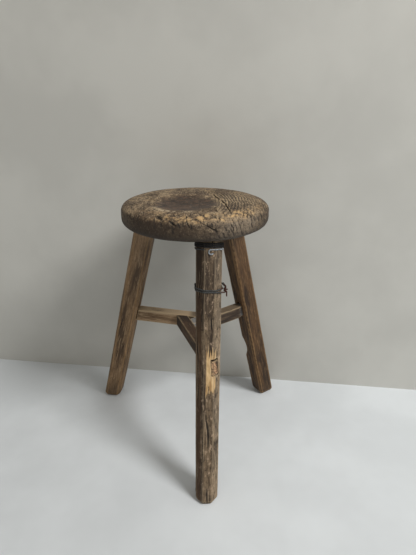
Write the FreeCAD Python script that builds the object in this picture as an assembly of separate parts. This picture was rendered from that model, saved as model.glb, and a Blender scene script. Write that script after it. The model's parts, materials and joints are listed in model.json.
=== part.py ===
import FreeCAD, Part
import math
import os

# Three-legged wooden milking stool. Millimetres, +Z up, floor at z = 0.
# Everything is drawn about the seat's own axis, then moved so that the origin
# lies under the middle of the whole stool's footprint.

# ---- overall ----
stool_height = 500.0
seat_diameter = 263.6
seat_thickness = 49.2
seat_edge_power = 4.1
seat_flat_share = 0.3

# ---- the hollow worn into the seat, measured from the seat's axis ----
dish_diameter = 122.0
dish_depth = 8.0
dish_x = -17.0
dish_y = -31.0

# ---- legs: socket_inset is from the seat's rim to the leg's centre line ----
# bearing: direction of the socket from the seat's axis, degrees from +X
# splay: how much further out the foot stands than the socket
# drift: how much further round the foot stands than the socket, degrees
# side, foot_side: across the flats at the seat and at the floor
# chamfer: how much of each side the arrises take away, at the seat
# turn: the section's turn about the leg, degrees
LEGS = {
    "left": {
        "socket_inset": 33.5, "bearing": 158.0, "splay": 128.4, "drift": -4.0,
        "side": 39.5, "foot_side": 37.5, "chamfer": 6.0, "turn": -10.0,
    },
    "right": {
        "socket_inset": 44.9, "bearing": 41.5, "splay": 104.3, "drift": -10.2,
        "side": 38.0, "foot_side": 37.0, "chamfer": 4.0, "turn": 32.0,
    },
    "front": {
        "socket_inset": 36.0, "bearing": -76.7, "splay": 108.2, "drift": -9.1,
        "side": 42.5, "foot_side": 38.5, "chamfer": 12.4, "turn": 3.0,
    },
}
arris_radius = 2.0
foot_wear = 4.0
foot_wear_height = 7.0

# ---- leg tenons through the seat, each spread by one wedge ----
seat_tenon_side = 23.0
wedge_thickness = 4.5
wedge_tip = 1.0
wedge_depth = 32.0

# ---- stretchers: a pinwheel about an open three-cornered eye ----
# depth: the stretcher's height from its lower to its upper face
# joint_height: where the stretcher's centre line crosses its leg's
# sideways: how far the joint is moved off the leg's centre line, to the left as
# seen from the eye
# shoulder_gap: air between the stretcher's shoulder and the leg
# gap_above, gap_below: air in the leg's mortise over and under the tenon
# taper: how far from the shoulder the near cheek is pared down to the tenon
stretcher_width = 21.0
eye_height = 236.0
eye_radius = 15.0
eye_x = -10.6
eye_y = 16.1
STRETCHERS = {
    "left": {
        "into": "right", "depth": 26.0, "joint_height": 237.0, "sideways": 0.0,
        "shoulder_gap": 1.5, "gap_above": 1.0, "gap_below": 1.0, "taper": 0.0,
    },
    "right": {
        "into": "front", "depth": 26.0, "joint_height": 238.5, "sideways": 0.0,
        "shoulder_gap": 0.0, "gap_above": 6.0, "gap_below": 1.0, "taper": 12.0,
    },
    "front": {
        "into": "left", "depth": 24.5, "joint_height": 247.0, "sideways": 6.0,
        "shoulder_gap": 0.0, "gap_above": 3.5, "gap_below": 2.5, "taper": 0.0,
    },
}
leg_tenon_thickness = 14.0
stub_tenon_thickness = 9.0
stub_tenon_height = 16.0
stub_end_gap = 1.0

# ---- the chip out of the right leg's left arris ----
chip_height = 122.0
chip_length = 52.0
chip_depth = 6.0
chip_corner = 135.0

# ---- mending wires round the front leg ----
# Their turns lie square to the leg, so stations are measured along its height
# where the turn's own centre is.
wire_diameter = 2.4
wire_clearance = 0.15
wire_bend = 2.2
upper_turns = 3
upper_start = 1.9
upper_pitch = 2.7
hook_wire_diameter = 2.2
hook_gap = 0.8
hook_eye_radius = 3.7
hook_eye_sideways = 1.6
hook_eye_corners = 6
hook_eye_start = 112.5
lower_station = 371.5
lower_pitch = 2.7
lower_lift_first = 9.0
lower_lift_last = 3.0
lower_corners = 15
lower_front_corner = 6.5
lower_level_corner = 10.5
tie_turns = 1.75
tie_pitch = 2.8
tie_drop = 3.0
tie_post_top = 13.0
tie_tail = 9.0

# ---- making ----
profile_steps = 16
overrun = 5.0
leg_sides_through = 1.5

# ---- worked out ----
seat_radius = seat_diameter / 2
seat_half = seat_thickness / 2
seat_middle = stool_height - seat_half
seat_underside = stool_height - seat_thickness
UP = FreeCAD.Vector(0, 0, 1)


def polar(reach, bearing, height):
    angle = math.radians(bearing)
    return FreeCAD.Vector(reach * math.cos(angle), reach * math.sin(angle), height)


def largest(shape):
    return max(shape.Solids, key=lambda solid: solid.Volume)


def tidy(shape):
    return largest(shape.removeSplitter())


def corner_arc(before, corner, after, radius):
    """The tangent arc that rounds one corner of a path, with its two end points."""
    back = (before - corner).normalize()
    ahead = (after - corner).normalize()
    half = back.getAngle(ahead) / 2
    reach = radius / math.tan(half)
    bisector = (back + ahead).normalize()
    middle = corner + bisector * (radius / math.sin(half) - radius)
    return corner + back * reach, middle, corner + ahead * reach


def rounded_path(points, radius, closed=False):
    """Straight runs joined by tangent arcs, through a list of corners."""
    count = len(points)
    inner = range(count) if closed else range(1, count - 1)
    arcs = [
        corner_arc(points[i - 1], points[i], points[(i + 1) % count], radius)
        for i in inner
    ]
    edges = []
    here = arcs[-1][2] if closed else points[0]
    for start, middle, end in arcs:
        edges.append(Part.LineSegment(here, start).toShape())
        edges.append(Part.Arc(start, middle, end).toShape())
        here = end
    if not closed:
        edges.append(Part.LineSegment(here, points[-1]).toShape())
    return Part.Wire(edges)


def tube(points, radius, diameter):
    """A round wire of the given diameter along a rounded path."""
    path = rounded_path(points, radius)
    start = points[0]
    ahead = (points[1] - start).normalize()
    ring = Part.Wire([Part.makeCircle(diameter / 2, start, ahead)])
    return path.makePipeShell([ring], True, False).Solids[0]


def beam(start, end, width, height):
    """A straight bar of rectangular section whose centre line runs from start to end."""
    along = (end - start).normalize()
    across = UP.cross(along).normalize()
    upward = along.cross(across)
    bar = Part.makeBox(
        (end - start).Length, width, height,
        FreeCAD.Vector(0, -width / 2, -height / 2),
    )
    bar.Placement = FreeCAD.Placement(FreeCAD.Matrix(
        along.x, across.x, upward.x, start.x,
        along.y, across.y, upward.y, start.y,
        along.z, across.z, upward.z, start.z,
    ))
    return bar


# ---- seat ----
def seat_profile():
    """Half of the seat's section: flat in the middle, swelling to a full round edge."""
    flat = seat_radius * seat_flat_share
    limit = math.acos(seat_flat_share ** (seat_edge_power / 2))
    curve = []
    for i in range(-profile_steps, profile_steps + 1):
        angle = limit * i / profile_steps
        reach = seat_radius * math.cos(angle) ** (2 / seat_edge_power)
        rise = seat_half * abs(math.sin(angle)) ** (2 / seat_edge_power)
        curve.append(FreeCAD.Vector(reach, 0, seat_middle + math.copysign(rise, i)))
    curve[0].z = seat_underside
    curve[-1].z = stool_height
    edge = Part.BSplineCurve()
    edge.interpolate(curve)
    low = FreeCAD.Vector(0, 0, seat_underside)
    high = FreeCAD.Vector(0, 0, stool_height)
    return Part.Wire([
        Part.LineSegment(low, curve[0]).toShape(),
        edge.toShape(),
        Part.LineSegment(curve[-1], high).toShape(),
        Part.LineSegment(high, low).toShape(),
    ])


def dish_cutter():
    """A large ball that leaves the worn hollow where it dips into the seat."""
    radius = (dish_diameter ** 2 / 4 + dish_depth ** 2) / (2 * dish_depth)
    lift = stool_height - dish_depth + radius
    return Part.makeSphere(radius, FreeCAD.Vector(dish_x, dish_y, lift))


def seat_blank():
    blank = Part.Face(seat_profile()).revolve(FreeCAD.Vector(0, 0, 0), UP, 360)
    return largest(blank.cut(dish_cutter()))


# ---- legs ----
def leg_line(leg):
    """The leg's centre line: its foot on the floor and the vector from foot to socket."""
    reach = seat_radius - leg["socket_inset"]
    socket = polar(reach, leg["bearing"], seat_underside)
    foot = polar(reach + leg["splay"], leg["bearing"] + leg["drift"], 0)
    return foot, socket - foot


def leg_point(leg, height):
    foot, rise = leg_line(leg)
    return foot + rise * (height / rise.z)


def leg_side(leg, height):
    share = height / seat_underside
    return leg["foot_side"] + (leg["side"] - leg["foot_side"]) * share


def octagon(leg, height, grow):
    """Corners of the leg's level section, a square with its arrises taken off."""
    side = leg_side(leg, height)
    flat = side / 2 + grow
    chamfer = leg["chamfer"] * side / leg["side"]
    slant = side - chamfer + grow * math.sqrt(2)
    near = slant - flat
    corners = [
        (flat, -near), (flat, near), (near, flat), (-near, flat),
        (-flat, near), (-flat, -near), (-near, -flat), (near, -flat),
    ]
    turn = math.radians(leg["turn"])
    centre = leg_point(leg, height)
    return [
        centre + FreeCAD.Vector(
            x * math.cos(turn) - y * math.sin(turn),
            x * math.sin(turn) + y * math.cos(turn),
            0,
        )
        for x, y in corners
    ]


def leg_section(leg, height, grow=0.0):
    return rounded_path(octagon(leg, height, grow), arris_radius, closed=True)


def leg_shaft(leg):
    """The whole leg from its worn foot to the middle of the seat's thickness."""
    return Part.makeLoft([
        leg_section(leg, 0, -foot_wear),
        leg_section(leg, foot_wear_height),
        leg_section(leg, seat_middle),
    ], True, True)


def square_section(leg, height, side):
    turn = leg["turn"] + 45
    corners = [
        leg_point(leg, height) + polar(side / math.sqrt(2), turn + 90 * k, 0)
        for k in range(4)
    ]
    return Part.makePolygon(corners + corners[:1])


def seat_tenon(leg):
    """The square tenon's full length, from under the seat to above it."""
    return Part.makeLoft([
        square_section(leg, seat_underside - overrun, seat_tenon_side),
        square_section(leg, stool_height + overrun, seat_tenon_side),
    ], True, True)


def wedge_blank(leg):
    """A tapering wedge across the tenon, driven in from the top."""
    top = leg_point(leg, stool_height)
    tip = leg_point(leg, stool_height - wedge_depth)
    turn = leg["turn"]
    across = polar(seat_tenon_side / 2, turn, 0)
    square = polar(1, turn + 90, 0)
    slope = (wedge_thickness - wedge_tip) / 2 / wedge_depth
    head = leg_point(leg, stool_height + overrun)
    wide = wedge_thickness / 2 + slope * overrun
    sections = []
    for middle, half in ((tip, wedge_tip / 2), (head, wide)):
        corners = [
            middle + across + square * half,
            middle - across + square * half,
            middle - across - square * half,
            middle + across - square * half,
        ]
        sections.append(Part.makePolygon(corners + corners[:1]))
    return Part.makeLoft(sections, True, True)


def chip_cutter():
    """A shallow scoop out of one arris of the right leg."""
    leg = LEGS["right"]
    side = leg_side(leg, chip_height)
    radius = (chip_length ** 2 / 4 + chip_depth ** 2) / (2 * chip_depth)
    outward = polar(1, leg["turn"] + chip_corner, 0)
    corner = outward * ((side - leg["chamfer"]) / math.sqrt(2))
    centre = leg_point(leg, chip_height) + corner + outward * (radius - chip_depth)
    rake = leg_line(leg)[1].normalize()
    level = rake.cross(outward).normalize()
    return Part.makeCylinder(radius, side, centre - level * (side / 2), level)


# ---- stretchers ----
def joint_point(name):
    """Where a stretcher's centre line crosses its own leg."""
    spec = STRETCHERS[name]
    point = leg_point(LEGS[name], spec["joint_height"])
    outward = FreeCAD.Vector(point.x - eye_x, point.y - eye_y, 0).normalize()
    return point + UP.cross(outward) * spec["sideways"]


def plan_direction(name):
    """Level direction from the leg to the eye, passing the eye at eye_radius."""
    point = joint_point(name)
    inward = FreeCAD.Vector(eye_x - point.x, eye_y - point.y, 0)
    swing = math.degrees(math.asin(eye_radius / inward.Length))
    heading = math.degrees(math.atan2(inward.y, inward.x))
    return polar(1, heading + swing, 0)


def far_end(name):
    """Where a stretcher's centre line meets the next one's, seen from above."""
    point = joint_point(name)
    along = plan_direction(name)
    other = joint_point(STRETCHERS[name]["into"])
    crossing = plan_direction(STRETCHERS[name]["into"])
    apart = other - point
    denominator = along.x * crossing.y - along.y * crossing.x
    reach = (apart.x * crossing.y - apart.y * crossing.x) / denominator
    end = point + along * reach
    return FreeCAD.Vector(end.x, end.y, eye_height)


def stub_tenon(name, gap):
    """The short tenon that enters the middle of the next stretcher."""
    end = far_end(name)
    along = (joint_point(name) - end).normalize()
    return beam(
        end - along * gap, end + along * stretcher_width,
        stub_tenon_thickness, stub_tenon_height,
    )


def stretcher_blank(name):
    depth = STRETCHERS[name]["depth"]
    return beam(far_end(name), joint_point(name), stretcher_width, depth)


def through_leg(name, height, lift=0.0):
    """The leg tenon, or its mortise, as a bar that passes right through the leg."""
    joint = joint_point(name)
    along = (joint - far_end(name)).normalize()
    reach = along * (leg_sides_through * LEGS[name]["side"])
    shift = UP * lift
    return beam(joint - reach + shift, joint + reach + shift, leg_tenon_thickness, height)


def leg_mortise(name):
    spec = STRETCHERS[name]
    height = spec["depth"] + spec["gap_above"] + spec["gap_below"]
    return through_leg(name, height, (spec["gap_above"] - spec["gap_below"]) / 2)


def cheek_paring(name):
    """The thin slanted slice taken off a stretcher's near cheek beside its leg."""
    spec = STRETCHERS[name]
    joint = joint_point(name)
    inward = (far_end(name) - joint).normalize()
    near_side = UP.cross(inward).normalize()
    shoulder = leg_side(LEGS[name], joint.z) / 2
    cheek = near_side * stretcher_width
    tenon = near_side * (leg_tenon_thickness / 2)
    start = joint + inward * (shoulder + spec["taper"])
    corners = [
        start + near_side * (stretcher_width / 2), joint + inward * shoulder + tenon,
        joint + tenon, joint + cheek, start + cheek,
    ]
    low = UP * (-2 * spec["depth"])
    profile = Part.Face(Part.makePolygon([c + low for c in corners + corners[:1]]))
    return profile.extrude(UP * (4 * spec["depth"]))


def stretcher(name, shafts):
    """A bar with shoulders scribed to its leg, a through tenon and a stub tenon."""
    spec = STRETCHERS[name]
    joint = joint_point(name)
    inward = (far_end(name) - joint).normalize()
    stand_off = shafts[name].copy()
    stand_off.translate(inward * spec["shoulder_gap"])
    bar = largest(stretcher_blank(name).cut(stand_off))
    bar = largest(bar.cut(stretcher_blank(spec["into"])))
    if spec["taper"]:
        bar = largest(bar.cut(cheek_paring(name)))
    neck_end = joint + inward * (leg_sides_through * LEGS[name]["side"])
    neck = beam(joint, neck_end, leg_tenon_thickness, spec["depth"])
    tenon = through_leg(name, spec["depth"]).common(shafts[name])
    whole = bar.fuse([neck, tenon, stub_tenon(name, 0)])
    for other, other_spec in STRETCHERS.items():
        if other_spec["into"] == name:
            whole = whole.cut(stub_tenon(other, stub_end_gap))
    return tidy(whole)


# ---- wires ----
def leg_axes(leg):
    """The leg's own directions: out of its right flat, out of its back, and upward."""
    upward = leg_line(leg)[1].normalize()
    right = polar(1, leg["turn"], 0)
    right = (right - upward * right.dot(upward)).normalize()
    return right, upward.cross(right), upward


def turn_point(leg, corner, station, grow):
    """One corner of a winding square to the leg, grow outside the leg's flats."""
    centre = leg_point(leg, station)
    upward = leg_axes(leg)[2]
    arm = octagon(leg, station, grow)[corner % 8] - centre
    return centre + arm - upward * arm.dot(upward)


def ring_point(centre, first, second, radius, degrees):
    angle = math.radians(degrees)
    return centre + first * (radius * math.cos(angle)) + second * (radius * math.sin(angle))


def upper_binding():
    """Close turns of wire right under the seat."""
    leg = LEGS["front"]
    grow = wire_diameter / 2 + wire_clearance
    top = seat_underside - upper_start
    points = [
        turn_point(leg, 1 + k, top - upper_pitch * k / 8, grow)
        for k in range(8 * upper_turns + 1)
    ]
    return tube(points, wire_bend, wire_diameter)


def hook_wire():
    """One turn below the binding that ends in an open eye on the leg's front."""
    leg = LEGS["front"]
    right, back, upward = leg_axes(leg)
    grow = hook_wire_diameter / 2 + wire_clearance
    last_turn = seat_underside - upper_start - upper_pitch * upper_turns
    station = last_turn - wire_diameter / 2 - hook_gap - hook_wire_diameter / 2
    turn = [turn_point(leg, 6 - k, station, grow) for k in range(8)]
    face = leg_side(leg, station) / 2 + grow
    eye = leg_point(leg, station) - back * face + right * hook_eye_sideways
    eye = eye - upward * hook_eye_radius
    corner_radius = hook_eye_radius / math.cos(math.radians(22.5))
    ring = [
        ring_point(eye, right, upward, corner_radius, hook_eye_start + 45 * k)
        for k in range(hook_eye_corners)
    ]
    return tube(turn + ring, wire_bend, hook_wire_diameter)


def lower_binding():
    """Two turns, together in front and spread behind, tied at the right by wrapping
    one end round the other, which stands up as a post."""
    leg = LEGS["front"]
    right, back, upward = leg_axes(leg)
    grow = wire_diameter / 2 + wire_clearance
    wrap = wire_diameter + wire_clearance
    face = leg_side(leg, lower_station) / 2 + grow
    corner = turn_point(leg, 0, lower_station, grow)
    post = corner + right * (2 * wrap)
    first_turn = []
    for k in range(1, lower_corners + 1):
        behind = (1 - math.cos(math.radians(45 * (k - lower_front_corner)))) / 2
        share = k / (lower_corners + 1)
        lift = lower_lift_first + (lower_lift_last - lower_lift_first) * share
        drop = lower_pitch * (k - lower_level_corner) / 8
        station = lower_station + lift * behind - drop
        first_turn.append(turn_point(leg, k, station, grow))
    corner_radius = wrap / math.cos(math.radians(30))
    steps = round(6 * tie_turns)
    coil = [
        ring_point(
            post + upward * (wire_diameter - tie_drop + tie_pitch * k / 6),
            right, back, corner_radius, 60 - 60 * (k - steps),
        )
        for k in range(steps + 1)
    ]
    tail = coil[0] - upward * tie_tail
    foot = post - upward * (tie_drop + wire_clearance)
    knee = post + upward * (tie_pitch * tie_turns + wire_diameter)
    top = corner + right * wire_clearance + upward * tie_post_top
    ends = [foot, knee, top]
    return tube([tail] + coil + first_turn + ends, wire_bend, wire_diameter)


def build():
    seat_solid = seat_blank()
    shafts = {name: leg_shaft(leg) for name, leg in LEGS.items()}
    tenons = {name: seat_tenon(leg) for name, leg in LEGS.items()}
    parts = {"seat": tidy(seat_solid.cut(list(tenons.values())))}
    for name, leg in LEGS.items():
        shaft = largest(shafts[name].cut(seat_solid))
        tenon = tenons[name].common(seat_solid).cut(wedge_blank(leg))
        body = shaft.fuse(tenon).cut(leg_mortise(name))
        if name == "right":
            body = body.cut(chip_cutter())
        parts[name + "_leg"] = tidy(body)
        parts[name + "_leg_wedge"] = tidy(wedge_blank(leg).common(seat_solid))
    for name in STRETCHERS:
        parts[name + "_stretcher"] = stretcher(name, shafts)
    parts["upper_wire_binding"] = upper_binding()
    parts["hook_wire"] = hook_wire()
    parts["lower_wire_binding"] = lower_binding()
    return parts


def centre_on_footprint(parts):
    """Moves every part so that the origin is under the middle of the whole stool."""
    box = Part.makeCompound(list(parts.values())).optimalBoundingBox()
    middle = FreeCAD.Vector(-box.Center.x, -box.Center.y, 0)
    for shape in parts.values():
        shape.translate(middle)
    return middle


parts = build()
shift = centre_on_footprint(parts)
print("seat axis at", round(shift.x, 2), round(shift.y, 2))
os.makedirs("parts", exist_ok=True)
for name, shape in parts.items():
    print(name, shape.ShapeType, len(shape.Solids), round(shape.Volume / 1000, 1), shape.isValid())
    shape.exportStep("parts/" + name + ".step")
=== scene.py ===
# %% [markdown]
# # A wooden milking stool
#
# This lesson builds the looks of an old three-legged milking stool: a thick round
# seat worn hollow by use, three splayed legs hewn with an axe, three stretchers that
# meet round a small open eye, and the wires that once mended the front leg.
#
# The true shapes and sizes come from a CAD model, which is loaded first and never
# moved. Everything made here sits exactly where the CAD model says, in metres, and
# only adds what years of weather and use leave on wood and iron.

# %% Load the frame
import json
import math

import bmesh
import bpy
import numpy as np
from mathutils import Matrix, Vector


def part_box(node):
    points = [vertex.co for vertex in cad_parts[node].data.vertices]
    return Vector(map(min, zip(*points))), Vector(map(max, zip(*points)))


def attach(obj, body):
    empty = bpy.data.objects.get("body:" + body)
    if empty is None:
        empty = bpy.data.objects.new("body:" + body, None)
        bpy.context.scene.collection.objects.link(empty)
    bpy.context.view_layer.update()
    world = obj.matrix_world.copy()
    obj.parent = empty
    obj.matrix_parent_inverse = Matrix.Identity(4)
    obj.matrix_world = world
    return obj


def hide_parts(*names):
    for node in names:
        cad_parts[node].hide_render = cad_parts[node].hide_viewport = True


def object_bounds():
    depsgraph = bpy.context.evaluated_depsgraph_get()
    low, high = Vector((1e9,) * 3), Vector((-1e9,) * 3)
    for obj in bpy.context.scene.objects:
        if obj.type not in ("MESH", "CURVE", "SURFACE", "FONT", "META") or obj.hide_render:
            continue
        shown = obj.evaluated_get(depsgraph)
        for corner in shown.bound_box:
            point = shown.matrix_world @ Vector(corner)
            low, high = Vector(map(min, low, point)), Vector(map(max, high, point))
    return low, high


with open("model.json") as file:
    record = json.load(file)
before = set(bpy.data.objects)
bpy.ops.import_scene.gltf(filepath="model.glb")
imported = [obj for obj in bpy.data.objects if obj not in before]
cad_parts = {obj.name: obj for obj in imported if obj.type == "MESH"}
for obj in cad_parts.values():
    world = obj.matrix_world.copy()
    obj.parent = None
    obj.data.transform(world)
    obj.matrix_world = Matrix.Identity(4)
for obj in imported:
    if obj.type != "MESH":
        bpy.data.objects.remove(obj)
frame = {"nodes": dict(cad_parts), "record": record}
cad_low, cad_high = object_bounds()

MM = 0.001
print("the stool measures", [round((b - a) / MM, 1) for a, b in zip(cad_low, cad_high)], "mm")

# %% [markdown]
# ## Where things are
#
# The seat was turned about an upright axis, so the middle of its box is that axis.
# Each leg's centre line runs from the middle of its foot to the middle of the wedge
# that spreads its tenon in the seat. Two known points on a line are all that is
# needed to follow a leg at any height.

# %% The seat's place and the legs' lines
seat_low, seat_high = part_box("seat")
seat_centre = (seat_low + seat_high) / 2
seat_top = Vector((seat_centre.x, seat_centre.y, seat_high.z))
seat_radius = (seat_high.x - seat_low.x) / 2
seat_thickness = seat_high.z - seat_low.z
LEG_NAMES = ("left", "right", "front")


def middle(node):
    low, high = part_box(node)
    return (low + high) / 2


def leg_foot(name):
    for mount in frame["record"]["mounts"]:
        if mount["name"] == name + "_foot":
            return Vector(mount["pos_m"])
    raise ValueError("no foot called " + name)


leg_feet = {name: leg_foot(name) for name in LEG_NAMES}
leg_slopes = {}
for name in LEG_NAMES:
    climb = middle(name + "_leg_wedge") - leg_feet[name]
    leg_slopes[name] = climb / climb.z


def leg_point(name, height):
    """The point on a leg's centre line at a height above the floor."""
    return leg_feet[name] + leg_slopes[name] * height


print("seat radius", round(seat_radius / MM, 1), "mm, thickness", round(seat_thickness / MM, 1))

# %% [markdown]
# ## The camera
#
# The stool is seen from a little above, as someone standing near it would see it.
# The camera's distance, height and tilt are set as plain numbers, and its matrix is
# put together from the three directions right, up and back.

# %% Camera
camera_distance = 0.740
camera_height = 0.6642
camera_pitch = 0.40759
camera_yaw = 0.03157
camera_roll = 0.00256
sensor_long_side = 36.0
camera_lens = 27.05


def camera_matrix(place, yaw, pitch, roll):
    level = math.cos(pitch)
    ahead = Vector((math.sin(yaw) * level, math.cos(yaw) * level, -math.sin(pitch)))
    right = Vector((math.cos(yaw), -math.sin(yaw), 0))
    up = right.cross(ahead)
    rolled_right = right * math.cos(roll) + up * math.sin(roll)
    rolled_up = up * math.cos(roll) - right * math.sin(roll)
    turn = Matrix((rolled_right, rolled_up, -ahead)).transposed().to_4x4()
    return Matrix.Translation(place) @ turn


lens = bpy.data.cameras.new("camera")
lens.sensor_width = sensor_long_side
lens.lens = camera_lens
camera = bpy.data.objects.new("camera", lens)
bpy.context.scene.collection.objects.link(camera)
camera_place = Vector((seat_centre.x, seat_centre.y - camera_distance, camera_height))
camera.matrix_world = camera_matrix(camera_place, camera_yaw, camera_pitch, camera_roll)
bpy.context.scene.camera = camera
print("camera at", [round(v, 3) for v in camera_place])

# %% [markdown]
# ## Arithmetic with nodes
#
# Shader nodes and Geometry Nodes share the same maths and noise nodes. The small
# class below wraps a node's output so that a formula can be written as ordinary
# arithmetic: adding two fields adds an Add node. One formula then serves twice, to
# carve a groove in the mesh and to darken the same groove in the colour.

# %% Fields
class Field:
    """A value that nodes work out at every point of a surface."""

    def __init__(self, tree, socket):
        self.tree = tree
        self.socket = socket

    def maths(self, operation, *others):
        return step(self.tree, "ShaderNodeMath", [self, *others], operation=operation)

    def vector(self, operation, *others, output=0):
        return step(
            self.tree, "ShaderNodeVectorMath", [self, *others], output, operation=operation
        )

    def __add__(self, other):
        return self.maths("ADD", other)

    def __sub__(self, other):
        return self.maths("SUBTRACT", other)

    def __rsub__(self, other):
        return self.maths("MULTIPLY_ADD", -1.0, other)

    def __mul__(self, other):
        return self.maths("MULTIPLY", other)

    def __truediv__(self, other):
        return self.maths("DIVIDE", other)

    def __rtruediv__(self, other):
        return step(self.tree, "ShaderNodeMath", [other, self], operation="DIVIDE")

    def __pow__(self, other):
        return self.maths("POWER", other)

    def __rpow__(self, other):
        return step(self.tree, "ShaderNodeMath", [other, self], operation="POWER")

    __radd__ = __add__
    __rmul__ = __mul__


def feed(tree, value, socket):
    """Links a field to a socket, or sets the socket to a plain value."""
    if isinstance(value, Field):
        tree.links.new(value.socket, socket)
    elif value is not None:
        socket.default_value = value


def step(tree, kind, inputs, output=0, **settings):
    """Adds one node, feeds it in order or by name, and returns one of its outputs."""
    node = tree.nodes.new(kind)
    for name, value in settings.items():
        setattr(node, name, value)
    pairs = inputs.items() if isinstance(inputs, dict) else enumerate(inputs)
    for place, value in pairs:
        feed(tree, value, node.inputs[place])
    return Field(tree, node.outputs[output])


# %% Helpers for patterns
def fade(value, start, end):
    """Rises smoothly from 0 at start to 1 at end; start may be the larger."""
    inputs = {"Value": value, "From Min": start, "From Max": end}
    return step(value.tree, "ShaderNodeMapRange", inputs, interpolation_type="SMOOTHSTEP")


def noise(place, size, seed, detail=2.0, roughness=0.5):
    """Random values about 0.5, in blotches of the given size in millimetres."""
    tight = [1 / length for length in size]
    moved = place.vector("MULTIPLY_ADD", tight, (seed, 2.7 * seed, 5.3 * seed))
    inputs = {"Vector": moved, "Scale": 1.0, "Detail": detail, "Roughness": roughness}
    return step(place.tree, "ShaderNodeTexNoise", inputs)


def parts_of(place):
    """The three numbers of a vector field."""
    x = step(place.tree, "ShaderNodeSeparateXYZ", [place])
    node = x.socket.node
    return [Field(place.tree, socket) for socket in node.outputs]


def joined(x, y, z):
    """A vector field from three numbers, at least one of them a field."""
    tree = next(part.tree for part in (x, y, z) if isinstance(part, Field))
    return step(tree, "ShaderNodeCombineXYZ", [x, y, z])


def off_axis(x, y):
    """How far a point is from an upright axis, given its offsets from it."""
    return joined(x, y, 0.0).vector("LENGTH", output=1)


def strongest(marks):
    """The largest of several masks at each point."""
    total = marks[0]
    for mark in marks[1:]:
        total = total.maths("MAXIMUM", mark)
    return total


def tone(red, green, blue):
    """A linear colour from the 0 to 255 values that a colour picker shows."""
    def linear(value):
        share = value / 255
        return share / 12.92 if share <= 0.04045 else ((share + 0.055) / 1.055) ** 2.4

    return (linear(red), linear(green), linear(blue), 1.0)


def blend(share, first, second):
    """First colour where share is 0, second where it is 1."""
    tree = share.tree
    return step(tree, "ShaderNodeMix", {0: share, 6: first, 7: second}, 2, data_type="RGBA")


print("mid grey", [round(v, 3) for v in tone(128, 128, 128)], "in linear light")

# %% [markdown]
# ## Recipes
#
# A Geometry Nodes tree is a recipe: geometry goes in, named sizes go in, and shaped
# geometry comes out. Each recipe here ends by making its instances real and giving
# the surface its material. The result is then frozen into a plain mesh.

# %% Making and using a recipe
def new_recipe(name, numbers, vectors=()):
    """An empty recipe with named inputs, one of them always the material."""
    tree = bpy.data.node_groups.new(name, "GeometryNodeTree")
    sockets = tree.interface
    sockets.new_socket("Geometry", in_out="OUTPUT", socket_type="NodeSocketGeometry")
    sockets.new_socket("Geometry", in_out="INPUT", socket_type="NodeSocketGeometry")
    kinds = [("Float", numbers), ("Vector", vectors), ("Material", ("Material",))]
    for kind, labels in kinds:
        for label in labels:
            sockets.new_socket(label, in_out="INPUT", socket_type="NodeSocket" + kind)
    start = tree.nodes.new("NodeGroupInput")
    return tree, {socket.name: Field(tree, socket) for socket in start.outputs if socket.name}


def move_points(geometry, how, value):
    """Sets every point's Position, or moves it by an Offset."""
    inputs = {"Geometry": geometry, how: value}
    return step(geometry.tree, "GeometryNodeSetPosition", inputs)


def end_recipe(tree, geometry, material):
    real = step(tree, "GeometryNodeRealizeInstances", [geometry])
    smooth = step(tree, "GeometryNodeSetShadeSmooth", {"Geometry": real})
    painted = step(tree, "GeometryNodeSetMaterial", {"Geometry": smooth, "Material": material})
    feed(tree, painted, tree.nodes.new("NodeGroupOutput").inputs[0])


def use_recipe(piece, tree, values):
    """Adds the recipe to a piece, with its inputs set by their identifiers."""
    modifier = piece.modifiers.new(tree.name, "NODES")
    modifier.node_group = tree
    for item in tree.interface.items_tree:
        if item.in_out == "INPUT" and item.name in values:
            modifier[item.identifier] = values[item.name]
    return modifier


def freeze(piece):
    """Turns what the modifiers make into the piece's own plain mesh."""
    graph = bpy.context.evaluated_depsgraph_get()
    mesh = bpy.data.meshes.new_from_object(piece.evaluated_get(graph), depsgraph=graph)
    mesh.name = piece.name
    piece.modifiers.clear()
    piece.data = mesh
    return mesh


def new_piece(name, mesh):
    piece = bpy.data.objects.new(name, mesh)
    bpy.context.scene.collection.objects.link(piece)
    return piece


def hand_over(piece, node):
    """Puts the piece on the root body, hides the CAD node it stands for, and prints its size against
    that node's box.
    """
    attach(piece, "root")
    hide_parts(node)
    triangles = sum(len(face.vertices) - 2 for face in piece.data.polygons)
    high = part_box(node)[1]
    grown = [max(Vector(v.co)[i] for v in piece.data.vertices) - high[i] for i in range(3)]
    print(piece.name, triangles, "triangles, past its box by", [round(g / MM, 2) for g in grown])


# %% [markdown]
# ## Hollows and edges
#
# Dirt settles in every crack and hands rub every edge pale. To let a material know
# where those are, each point of a finished mesh is compared with the average of its
# neighbours: a point below that average is in a hollow, and a point above it is on an
# edge. The result is stored on the mesh as an attribute that the material reads.

# %% Measuring hollows
relief_rounds = 5


def mark_relief(mesh):
    """Stores how far every point lies below its surroundings, in millimetres."""
    count = len(mesh.vertices)
    places = np.empty(count * 3)
    mesh.vertices.foreach_get("co", places)
    places = places.reshape(-1, 3)
    normals = np.empty(count * 3)
    mesh.vertices.foreach_get("normal", normals)
    pairs = np.empty(len(mesh.edges) * 2, int)
    mesh.edges.foreach_get("vertices", pairs)
    one, other = pairs.reshape(-1, 2).T
    ends = np.concatenate([one, other])
    far_ends = np.concatenate([other, one])
    neighbours = np.maximum(np.bincount(ends, minlength=count), 1)
    average = places.copy()
    for _ in range(relief_rounds):
        average = np.column_stack([
            np.bincount(ends, average[far_ends, axis], count) / neighbours
            for axis in range(3)
        ])
    depth = ((average - places) * normals.reshape(-1, 3)).sum(1) / MM
    layer = mesh.attributes.new("hollow", "FLOAT", "POINT")
    layer.data.foreach_set("value", depth.astype(np.float32))


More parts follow.
